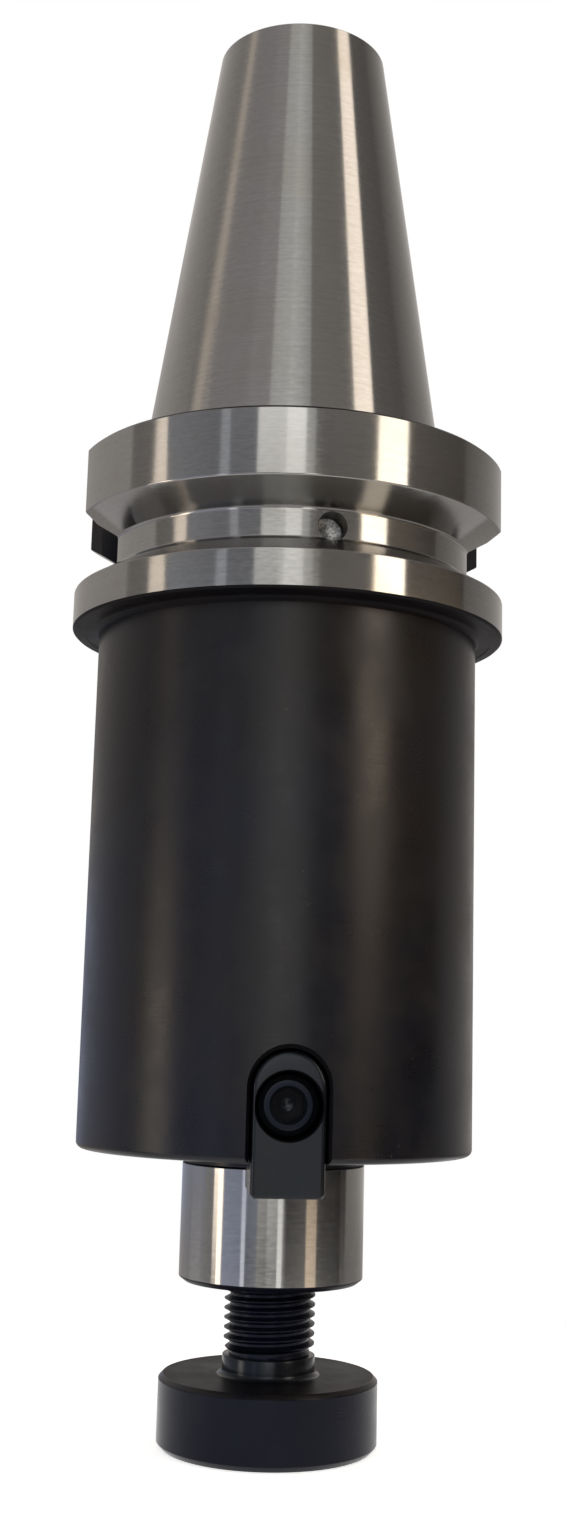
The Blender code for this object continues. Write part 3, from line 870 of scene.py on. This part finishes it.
class OBJECT_OT_mill_holder_lock_screw(Make):
    """Make the lock screw with its wide head and its thread"""

    bl_idname = "object.mill_holder_lock_screw"
    bl_label = "Lock Screw"

    def execute(self, context):
        screws = context.scene.holder_screws
        head = LOCK_HIGH.x
        top = screws.lock_head
        collar = screws.lock_collar / 2
        root = screws.lock_thread / 2 - 0.614 * screws.lock_pitch
        tip = LOCK_HIGH.z
        thread_start, thread_end = tip - 0.5 * MM, top + 2.6 * MM
        fillet = 0.7 * MM
        chamfer = 0.7 * MM
        mouth = screws.lock_hex / sqrt(3) + chamfer
        point = Outline(0.0, tip).to(root - 0.6 * MM, tip, SCREW, DEBURR).to(root, thread_start, SCREW)
        edge, bevel = 0.15 * MM, 0.6 * MM
        base = Outline(root, thread_end).to(collar, thread_end, KEY, edge)
        base.bend((collar + fillet, top + fillet), fillet, pi, 1.5 * pi, KEY)
        base.to(head - bevel, top, TURNED, edge).to(head, top - bevel, BLACK, edge)
        foot_edge, foot = 0.2 * MM, 0.8 * MM
        base.to(head, foot, SCREW, foot_edge).to(head - foot, 0.0, SCREW, foot_edge)
        base.to(mouth, 0.0, SCREW)
        thread = threaded(
            LOCK_SEGMENTS,
            thread_start,
            thread_end,
            screws.lock_pitch,
            screws.lock_thread,
            2 * root,
            (root, root),
            crest_phase=0.2 * screws.lock_pitch,
            finish=SCREW,
        )
        socket = hex_socket(screws.lock_hex, chamfer, 6.0 * MM, 0.0, LOCK_SEGMENTS, -1, SCREW)
        surfaces = (turned(point, LOCK_SEGMENTS), thread, turned(base, LOCK_SEGMENTS), socket)
        item = piece("clamping_screw", *surfaces)
        complete(item, "lock_screw", "black_oxide", "lock_screw")
        return {"FINISHED"}


def sheet_of_light(name, azimuths, elevations, levels, colour, radius):
    """A curved panel round the axis. A point at azimuth a from -Y towards +X and elevation e lies at
    (R sin a, -R cos a, R tan e). Its azimuths and levels are those of the lower left, lower right,
    upper left and upper right corner, and both run evenly between them."""
    steps = np.linspace(0, 1, PANEL_STEPS + 1)
    across, up = np.meshgrid(steps, steps)
    weights = np.stack(((1 - across) * (1 - up), across * (1 - up), (1 - across) * up, across * up), -1)
    azimuth = np.radians(weights @ azimuths)
    elevation = np.radians(elevations[0] + (elevations[1] - elevations[0]) * up)
    points = radius * np.stack((np.sin(azimuth), -np.cos(azimuth), np.tan(elevation)), -1)
    mesh = bpy.data.meshes.new(name)
    at = np.arange(across.size).reshape(across.shape)
    quads = np.stack((at[:-1, :-1], at[:-1, 1:], at[1:, 1:], at[1:, :-1]), -1).reshape(-1, 4)
    mesh.from_pydata(points.reshape(-1, 3), [], quads)
    glow = (weights @ levels).reshape(-1, 1) * np.array((*colour, 0.0)) + (0.0, 0.0, 0.0, 1.0)
    attribute = mesh.attributes.new("glow", "FLOAT_COLOR", "POINT")
    attribute.data.foreach_set("color", glow.ravel().astype(np.float32))
    item = put(name, mesh)
    item.visible_camera = False
    return item


# Colours of the light panels
DAYLIGHT = (1.0, 0.985, 0.95)
WALL = (1.0, 0.95, 0.95)
DUSK = (1.0, 0.94, 0.89)
WARM = (1.0, 0.87, 0.74)
SUN = (1.0, 0.79, 0.58)
COOL = (0.97, 0.99, 1.06)
NAVY = (0.85, 0.92, 1.2)
GLARE = (1.0, 0.95, 0.82)

# Rings of light panels from the ground to the ceiling. Each has its two elevations and its panels,
# with azimuths and levels of their left and right edges, or of all four corners, and a colour.
# Angles are in degrees.
LIGHTS = {
    "ground": (-65, -24, [((left, left + 90), (0.6, 0.6), WALL) for left in (-45, 45, 135, -135)]),
    "foot": (-24, -5.2, (
        ((-180, -125), (0.4, 0.42), DUSK),
        ((-125, -104), (0.58, 0.62), DUSK),
        ((-104, -76), (0.5, 0.2), DUSK),
        ((-76, -69), (4.2, 3.8), WARM),
        ((-69, -42), (0.66, 0.5), NAVY),
        ((-42, -37), (1.7, 1.7), COOL),
        ((-37, -25), (0.1, 0.25), COOL),
        ((-25, -8), (0.28, 0.1), DAYLIGHT),
        ((-8, 3), (0.2, 0.3), DAYLIGHT),
        ((3, 9), (2.3, 2.3), DAYLIGHT),
        ((9, 14), (0.5, 0.3), WALL),
        ((14, 39), (0.2, 0.42), DUSK),
        ((39, 53), (3.2, 2.8, 1.8, 1.6), SUN),
        ((53, 90), (0.22, 0.1), DUSK),
        ((90, 180), (0.25, 0.45), DUSK),
    )),
    "hip": (-5.2, 0.5, (
        ((-180, -97), (0.45, 0.55), NAVY),
        ((-97, -82), (0.5, 0.5), COOL),
        ((-82, -68), (5.3, 5.3, 4.5, 4.5), WARM),
        ((-68, -42), (0.6, 0.55), NAVY),
        ((-42, -36), (1.1, 1.1), NAVY),
        ((-36, -22), (0.6, 0.6), NAVY),
        ((-22, -10), (1.05, 1.0), DAYLIGHT),
        ((-10, 11), (1.6, 0.8), DAYLIGHT),
        ((11, 100), (0.0, 0.0), DUSK),
        ((100, 180), (0.4, 0.75), DUSK),
    )),
    "waist": (0.5, 6, (
        ((-180, -97), (0.45, 0.55), NAVY),
        ((-97, -82), (0.5, 0.5), COOL),
        ((-82, -68), (4.5, 4.5, 3.8, 3.8), WARM),
        ((-68, -42), (0.6, 0.55), NAVY),
        ((-42, -36), (1.1, 1.1), NAVY),
        ((-36, -22), (0.6, 0.6), NAVY),
        ((-22, -10), (1.05, 1.0, 1.4, 1.3), DAYLIGHT),
        ((-10, 11), (1.7, 0.9, 3.4, 2.4), DAYLIGHT),
        ((11, 38), (0.05, 0.05, 0.22, 0.2), DUSK),
        ((38, 55), (0.0, 0.0, 1.2, 1.0), SUN),
        ((55, 100), (0.03, 0.02, 0.1, 0.06), DUSK),
        ((100, 180), (0.4, 0.75), DUSK),
    )),
    "shoulder": (6, 14, (
        ((-180, -97), (0.42, 0.42), DUSK),
        ((-97, -81), (0.38, 0.36), DUSK),
        ((-81, -67), (0.38, 0.36), WARM),
        ((-67, -42), (0.5, 0.45, 0.8, 0.8), COOL),
        ((-42, -36), (1.3, 1.3), COOL),
        ((-36, -22), (0.8, 0.8), COOL),
        ((-22, -10), (1.5, 1.5), DAYLIGHT),
        ((-10, 11), (3.0, 2.2, 2.0, 1.1), DAYLIGHT),
        ((11, 39), (0.35, 0.35, 0.6, 0.6), DUSK),
        ((39, 57), (0.6, 0.5, 11.5, 10.5), SUN),
        ((57, 100), (0.2, 0.1, 1.3, 0.6), SUN),
        ((100, 180), (0.35, 0.6), DUSK),
    )),
    "flange": (14, 30, (
        ((-180, -97), (0.5, 0.57), DUSK),
        ((-97, -82, -97, -78), (0.3, 0.3), DUSK),
        ((-82, -70, -78, -76), (2.0, 2.0), WARM),
        ((-70, -42, -76, -41), (0.42, 0.2, 0.46, 0.38), COOL),
        ((-42, -36, -41, -37), (0.4, 0.4, 0.9, 0.9), COOL),
        ((-36, -22, -37, -22), (0.08, 0.08, 0.6, 0.6), COOL),
        ((-22, -7), (0.05, 0.05, 3.1, 3.0), DAYLIGHT),
        ((-7, 3), (0.6, 0.6, 3.6, 3.6), DAYLIGHT),
        ((3, 8), (0.6, 0.45, 1.2, 0.9), DAYLIGHT),
        ((8, 40, 8, 43), (0.08, 0.1, 0.45, 0.55), DUSK),
        ((40, 57, 43, 61), (4.4, 4.2, 3.6, 3.6), GLARE),
        ((57, 100, 61, 100), (0.05, 0.02, 0.35, 0.25), DUSK),
        ((100, 180), (0.22, 0.7), DUSK),
    )),
    "taper": (30, 66, (
        ((-180, -97), (0.7, 0.4), DUSK),
        ((-97, -97, -97, -78), (0.42, 0.42, 0.42, 0.46), DUSK),
        ((-97, -88, -78, -69), (1.0, 0.95), WARM),
        ((-88, -42, -69, -42), (0.45, 0.48, 0.4, 0.48), WALL),
        ((-42, -24), (0.52, 0.55), WALL),
        ((-24, -8), (0.8, 0.9), DAYLIGHT),
        ((-8, 10), (1.0, 0.65), DAYLIGHT),
        ((10, 46, 10, 54), (0.38, 0.33), DUSK),
        ((46, 63, 54, 76), (2.5, 2.9, 2.3, 2.5), WARM),
        ((63, 100, 76, 100), (0.25, 0.18), DUSK),
        ((100, 180), (0.22, 0.75), DUSK),
    )),
    "ceiling": (66, 86, [((left, left + 120), (0.2, 0.2), DUSK) for left in (-180, -60, 60)]),
}


class SCENE_OT_mill_holder_studio(Make):
    """Make the floor, the ring of light panels, the backdrop and the camera"""

    bl_idname = "scene.mill_holder_studio"
    bl_label = "Studio"

    def execute(self, context):
        studio = context.scene.holder_studio
        make_floor(studio)
        make_panels(studio)
        make_backdrop(studio)
        make_camera()
        context.scene.view_settings.view_transform = "Standard"
        return {"FINISHED"}


def white_rays(tree):
    """1 for the rays that see the ground and the backdrop as white: those of the camera, and those
    that metal reflects or glass lets through."""
    path = tree.nodes.new("ShaderNodeLightPath")
    names = ("Is Camera Ray", "Is Glossy Ray", "Is Transmission Ray")
    camera, glossy, through = (Wire(tree, path.outputs[name]) for name in names)
    return camera.math("MINIMUM", camera + glossy + through, 1.0)


def make_floor(studio):
    """A round pale floor just under the lock screw: rings of points round its middle."""
    rings, segments, gap = 12, 96, 0.05 * MM
    radius = np.repeat(np.linspace(studio.floor_radius, 0, rings)[:, None], segments, axis=1)
    points = round_points(radius, np.full_like(radius, -gap))
    mesh = bpy.data.meshes.new("floor")
    mesh.from_pydata(points, [], ring_faces(rings, segments)[:, ::-1])
    item = put("floor", mesh)
    paint = Paint("floor_paper")
    paint.set(
        Base_Color=paint.noise(400.0).pick((0.88, 0.88, 0.88, 1.0), (0.9, 0.9, 0.9, 1.0)),
        Roughness=0.9,
        Specular_IOR_Level=0.1,
        Emission_Color=(1.0, 1.0, 1.0, 1.0),
        Emission_Strength=white_rays(paint.tree) * studio.floor_glow,
    )
    mesh.materials.append(paint.material)


def make_panels(studio):
    """The rings of panels, which light the metal and are seen only in it."""
    material = bpy.data.materials.new("panel_light")
    material.use_nodes = True
    tree = material.node_tree
    tree.nodes.clear()
    start = Wire(tree, None)
    glow = start.node("ShaderNodeAttribute", {"attribute_name": "glow"}, {}, output="Color")
    light = start.node("ShaderNodeEmission", {}, {"Color": glow, "Strength": 1.0})
    output = tree.nodes.new("ShaderNodeOutputMaterial")
    tree.links.new(light.socket, output.inputs["Surface"])
    for name, (low, high, panels) in LIGHTS.items():
        for azimuths, levels, colour in panels:
            azimuths, levels = (edges * 2 if len(edges) == 2 else edges for edges in (azimuths, levels))
            item = sheet_of_light(
                name + "_panel", azimuths, (low, high), levels, colour, studio.ring_radius
            )
            item.data.materials.append(material)


def make_backdrop(studio):
    """A white world for the camera and for reflections, and a fill light for the rest."""
    world = bpy.data.worlds.new("backdrop")
    world.use_nodes = True
    bpy.context.scene.world = world
    tree = world.node_tree
    seen = white_rays(tree)
    level = seen + (1 - seen) * studio.fill
    background = tree.nodes["Background"]
    background.inputs["Color"].default_value = (1.0, 1.0, 1.0, 1.0)
    tree.links.new(level.socket, background.inputs["Strength"])


def make_camera():
    """Camera a quarter of a metre in front and a little left, looking slightly up, in the place and
    with the lens that give the photograph's view. The shift is that of a picture cut from a larger one."""
    distance, height, side = 246.86 * MM, 55.32 * MM, radians(3.9)
    yaw, pitch, roll = side + 0.0109, 0.1803, 0.0247
    ahead = Vector((sin(yaw) * cos(pitch), cos(yaw) * cos(pitch), sin(pitch)))
    right = Vector((cos(yaw), -sin(yaw), 0.0))
    up = right.cross(ahead)
    tilted = cos(roll) * right + sin(roll) * up
    over = cos(roll) * up - sin(roll) * right
    data = bpy.data.cameras.new("camera")
    data.lens = 40.41
    data.sensor_fit = "VERTICAL"
    data.sensor_height = 36.0
    data.shift_x = -0.01326
    data.shift_y = -0.02725
    data.clip_start = MM
    camera = put("camera", data)
    place = Matrix((tilted, over, -ahead)).transposed().to_4x4()
    place.translation = (-distance * sin(side), -distance * cos(side), height)
    camera.matrix_world = place
    bpy.context.scene.camera = camera


class VIEW3D_PT_mill_holder(Panel):
    """Lists the operators that make the pieces and the studio"""

    bl_label = "Shell Mill Holder"
    bl_space_type = "VIEW_3D"
    bl_region_type = "UI"
    bl_category = "Mill Holder"

    def draw(self, context):
        for operator in OPERATORS:
            self.layout.operator(operator.bl_idname)


GROUPS = {
    "holder_sizes": HolderSizes,
    "holder_screws": ScrewSizes,
    "holder_finishes": Finishes,
    "holder_studio": StudioSizes,
}
OPERATORS = (
    OBJECT_OT_mill_holder_body,
    OBJECT_OT_mill_holder_keys,
    OBJECT_OT_mill_holder_key_screws,
    OBJECT_OT_mill_holder_lock_screw,
    SCENE_OT_mill_holder_studio,
)


def register():
    """Add the groups of sizes, the operators and the panel to Blender."""
    for name, group in GROUPS.items():
        bpy.utils.register_class(group)
        setattr(bpy.types.Scene, name, PointerProperty(type=group))
    for kind in OPERATORS + (VIEW3D_PT_mill_holder,):
        bpy.utils.register_class(kind)


def unregister():
    """Take all of that out again."""
    for kind in (VIEW3D_PT_mill_holder,) + OPERATORS[::-1]:
        bpy.utils.unregister_class(kind)
    for name, group in GROUPS.items():
        delattr(bpy.types.Scene, name)
        bpy.utils.unregister_class(group)


def main():
    """Build the pieces and the studio."""
    register()
    bpy.ops.object.mill_holder_body()
    bpy.ops.object.mill_holder_keys()
    bpy.ops.object.mill_holder_key_screws()
    bpy.ops.object.mill_holder_lock_screw()
    bpy.ops.scene.mill_holder_studio()


if __name__ == "__main__":
    main()
